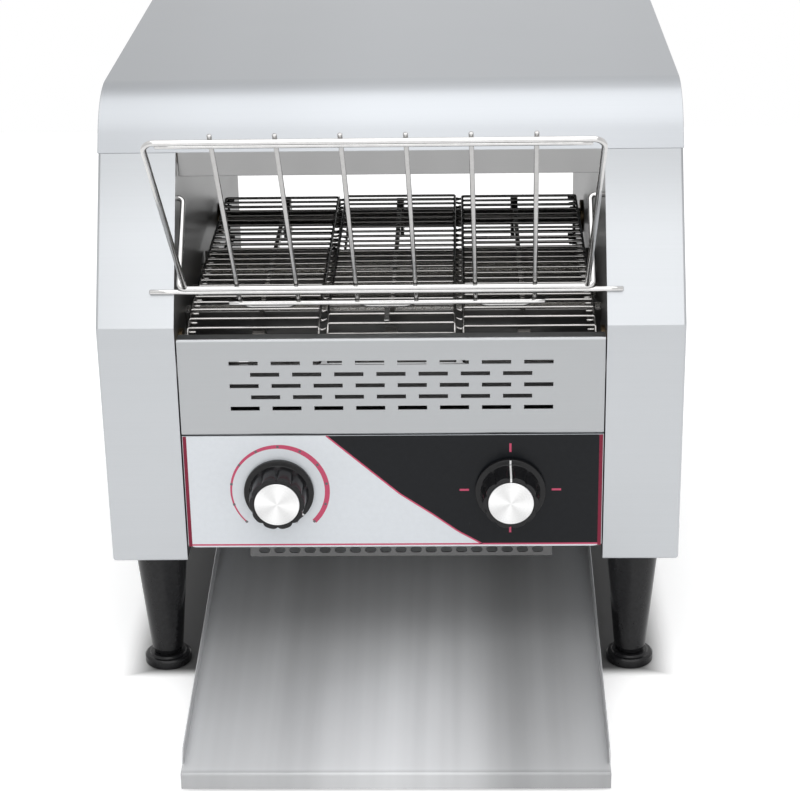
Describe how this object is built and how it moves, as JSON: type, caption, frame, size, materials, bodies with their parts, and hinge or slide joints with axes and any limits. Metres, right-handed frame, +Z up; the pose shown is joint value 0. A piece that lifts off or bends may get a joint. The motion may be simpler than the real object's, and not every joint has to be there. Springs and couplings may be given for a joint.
{
  "type": "conveyor toaster",
  "caption": "Countertop conveyor toaster with a sloping wire loading rack, an endless wire belt between heater tubes, two front knobs, a slide-out tray and black legs.",
  "frame": {"origin": "on the table under the middle of the whole toaster's box, tray and cord gland included", "axes": "+X to the right seen from the front, +Y to the back, +Z up"},
  "size_m": [0.3692, 0.559, 0.4002],
  "materials": {
    "hood_steel": "fine brushed, grain from side to side",
    "panel_steel": "satin bright sheet",
    "tray_steel": "fine brushed, grain from side to side",
    "label_print": "printed white and black with a thin red border",
    "gland_plastic": "matt black",
    "reflector_aluminium": "bright",
    "quartz": "clear quartz",
    "ceramic": "white ceramic",
    "belt_steel": "drawn wire, darkened",
    "bush_bronze": "plain sintered",
    "shaft_steel": "ground",
    "sprocket_steel": "plain cut steel",
    "motor_paint": "dark grey",
    "knob_black": "glossy black",
    "cap_aluminium": "spun",
    "control_plastic": "moulded",
    "board_green": "lacquered",
    "rack_wire": "polished wire",
    "leg_black": "glossy black",
    "foot_black": "glossy black"
  },
  "bodies": {
    "cabinet": {"top_cover": "hood_steel", "right_side_panel": "panel_steel", "left_side_panel": "panel_steel", "right_inner_wall": "panel_steel", "left_inner_wall": "panel_steel", "rear_panel": "panel_steel", "toast_deflector": "panel_steel", "front_vent_panel": "panel_steel", "control_panel": "panel_steel", "control_box": "panel_steel", "base_plate": "panel_steel", "right_tray_ledge": "panel_steel", "left_tray_ledge": "panel_steel", "control_label": "label_print", "cable_gland": "gland_plastic", "upper_reflector": "reflector_aluminium", "lower_reflector": "reflector_aluminium", "upper_heating_tubes": "quartz", "lower_heating_tubes": "quartz", "upper_heater_caps": "ceramic", "lower_heater_caps": "ceramic", "conveyor_belt": "belt_steel", "belt_clip": "belt_steel", "belt_guides": "belt_steel", "shaft_bushes": "bush_bronze", "motor_bracket": "shaft_steel", "drive_chain": "sprocket_steel", "gear_motor": "motor_paint", "speed_regulator": "control_plastic", "selector_switch": "control_plastic", "terminal_block": "control_plastic", "speed_board": "board_green", "front_left_leg": "leg_black", "front_right_leg": "leg_black", "rear_left_leg": "leg_black", "rear_right_leg": "leg_black"},
    "loading_rack": {"rack_frame": "rack_wire", "rack_hanger": "rack_wire", "rack_pin_rod": "rack_wire", "rack_top_rod": "rack_wire", "rack_front_rod": "rack_wire", "rack_hairpins": "rack_wire"},
    "tray": {"slide_tray": "tray_steel"},
    "speed_control": {"speed_knob": "knob_black", "speed_knob_cap": "cap_aluminium", "speed_spindle": "shaft_steel"},
    "selector_control": {"selector_knob": "knob_black", "selector_knob_cap": "cap_aluminium", "selector_spindle": "shaft_steel"},
    "drive_roll": {"drive_shaft": "shaft_steel", "drive_sprockets": "sprocket_steel", "driven_chain_wheel": "sprocket_steel"},
    "idler_roll": {"idler_shaft": "shaft_steel", "idler_rollers": "sprocket_steel"},
    "motor_output": {"motor_spindle": "shaft_steel", "motor_chain_wheel": "sprocket_steel"},
    "front_left_adjuster": {"front_left_foot": "foot_black"},
    "front_right_adjuster": {"front_right_foot": "foot_black"},
    "rear_left_adjuster": {"rear_left_foot": "foot_black"},
    "rear_right_adjuster": {"rear_right_foot": "foot_black"}
  },
  "joints": [
    {"name": "rack_swing", "type": "hinge", "parent": "cabinet", "child": "loading_rack", "pos_m": [0, -0.10004, 0.324], "axis": [-1, 0, 0], "range_deg": [0, 115]},
    {"name": "tray_slide", "type": "slide", "parent": "cabinet", "child": "tray", "axis": [0, -1, 0], "range_m": [0, 0.3]},
    {"name": "speed_turn", "type": "hinge", "parent": "cabinet", "child": "speed_control", "pos_m": [-0.0734, -0.1515, 0.1426], "axis": [0, -1, 0], "range_deg": [0, 270]},
    {"name": "selector_turn", "type": "hinge", "parent": "cabinet", "child": "selector_control", "pos_m": [0.0751, -0.1515, 0.1426], "axis": [0, -1, 0], "range_deg": [-90, 180]},
    {"name": "drive_turn", "type": "hinge", "parent": "cabinet", "child": "drive_roll", "pos_m": [0, 0.1235, 0.237], "axis": [1, 0, 0], "continuous": true},
    {"name": "idler_turn", "type": "hinge", "parent": "cabinet", "child": "idler_roll", "pos_m": [0, -0.1275, 0.235], "axis": [1, 0, 0], "continuous": true},
    {"name": "motor_turn", "type": "hinge", "parent": "cabinet", "child": "motor_output", "pos_m": [0.15, 0.1735, 0.165], "axis": [1, 0, 0], "continuous": true},
    {"name": "front_left_adjust", "type": "slide", "parent": "cabinet", "child": "front_left_adjuster", "axis": [0, 0, 1], "range_m": [-0.01, 0]},
    {"name": "front_right_adjust", "type": "slide", "parent": "cabinet", "child": "front_right_adjuster", "axis": [0, 0, 1], "range_m": [-0.01, 0]},
    {"name": "rear_left_adjust", "type": "slide", "parent": "cabinet", "child": "rear_left_adjuster", "axis": [0, 0, 1], "range_m": [-0.01, 0]},
    {"name": "rear_right_adjust", "type": "slide", "parent": "cabinet", "child": "rear_right_adjuster", "axis": [0, 0, 1], "range_m": [-0.01, 0]}
  ],
  "couplings": [
    {"joint": "idler_turn", "follows": "drive_turn", "ratio": 1.3333},
    {"joint": "motor_turn", "follows": "drive_turn", "ratio": 2}
  ]
}
